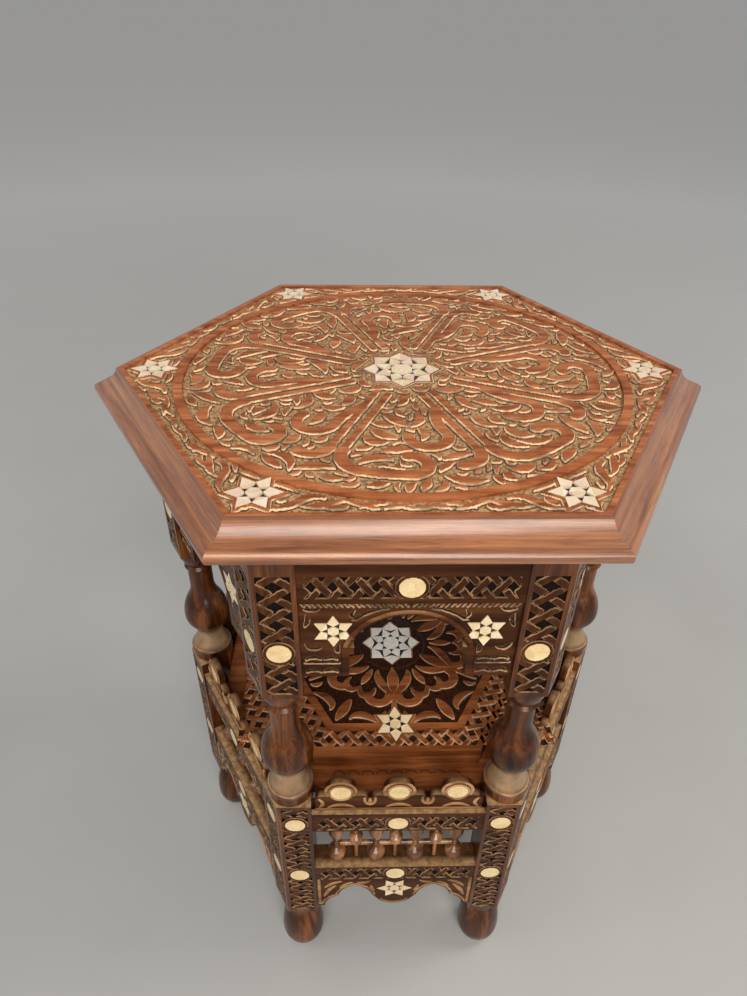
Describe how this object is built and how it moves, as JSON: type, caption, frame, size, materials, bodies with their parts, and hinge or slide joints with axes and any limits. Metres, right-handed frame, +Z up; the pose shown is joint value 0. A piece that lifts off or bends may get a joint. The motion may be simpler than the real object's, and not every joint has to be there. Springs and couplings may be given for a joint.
{
  "type": "side table",
  "caption": "Hexagonal carved wooden side table with star inlay, turned legs, open arches, a low galleried shelf and spindle screens over cusped aprons.",
  "frame": {"origin": "on the floor under the middle of the top, at the centre of the six feet", "axes": "+Z up; -Y is the front face; +X to the right, along a corner of the hexagon"},
  "size_m": [0.4342, 0.376, 0.52],
  "materials": {
    "top_wood": "polished reddish brown hardwood with carved ground",
    "case_wood": "dark brown waxed hardwood",
    "turned_wood": "turned and waxed brown hardwood",
    "bone": "polished bone",
    "pearl": "polished mother of pearl",
    "mastic": "dull black mastic"
  },
  "bodies": {
    "root": {"apron_rail_1": "case_wood", "apron_rail_2": "case_wood", "apron_rail_3": "case_wood", "apron_rail_4": "case_wood", "apron_rail_5": "case_wood", "apron_rail_6": "case_wood", "apron_stars": "pearl", "arch_panel_1": "case_wood", "arch_panel_2": "case_wood", "arch_panel_3": "case_wood", "arch_panel_4": "case_wood", "arch_panel_5": "case_wood", "arch_panel_6": "case_wood", "arch_stars": "pearl", "edge_moulding_1": "top_wood", "edge_moulding_2": "top_wood", "edge_moulding_3": "top_wood", "edge_moulding_4": "top_wood", "edge_moulding_5": "top_wood", "edge_moulding_6": "top_wood", "gallery_1": "case_wood", "gallery_2": "case_wood", "gallery_3": "case_wood", "gallery_4": "case_wood", "gallery_5": "case_wood", "gallery_6": "case_wood", "gallery_discs": "bone", "leg_1": "case_wood", "leg_2": "case_wood", "leg_3": "case_wood", "leg_4": "case_wood", "leg_5": "case_wood", "leg_6": "case_wood", "leg_discs": "bone", "middle_rail_1": "case_wood", "middle_rail_2": "case_wood", "middle_rail_3": "case_wood", "middle_rail_4": "case_wood", "middle_rail_5": "case_wood", "middle_rail_6": "case_wood", "rail_discs": "bone", "screen_crosses": "turned_wood", "screen_spindles": "turned_wood", "shelf_base": "case_wood", "shelf_panel": "case_wood", "shelf_stars": "pearl", "star_beds": "mastic", "top_board": "top_wood", "top_centre_star": "pearl", "top_cleats": "case_wood", "top_corner_stars": "pearl", "upper_rail_1": "case_wood", "upper_rail_2": "case_wood", "upper_rail_3": "case_wood", "upper_rail_4": "case_wood", "upper_rail_5": "case_wood", "upper_rail_6": "case_wood"}
  },
  "joints": []
}
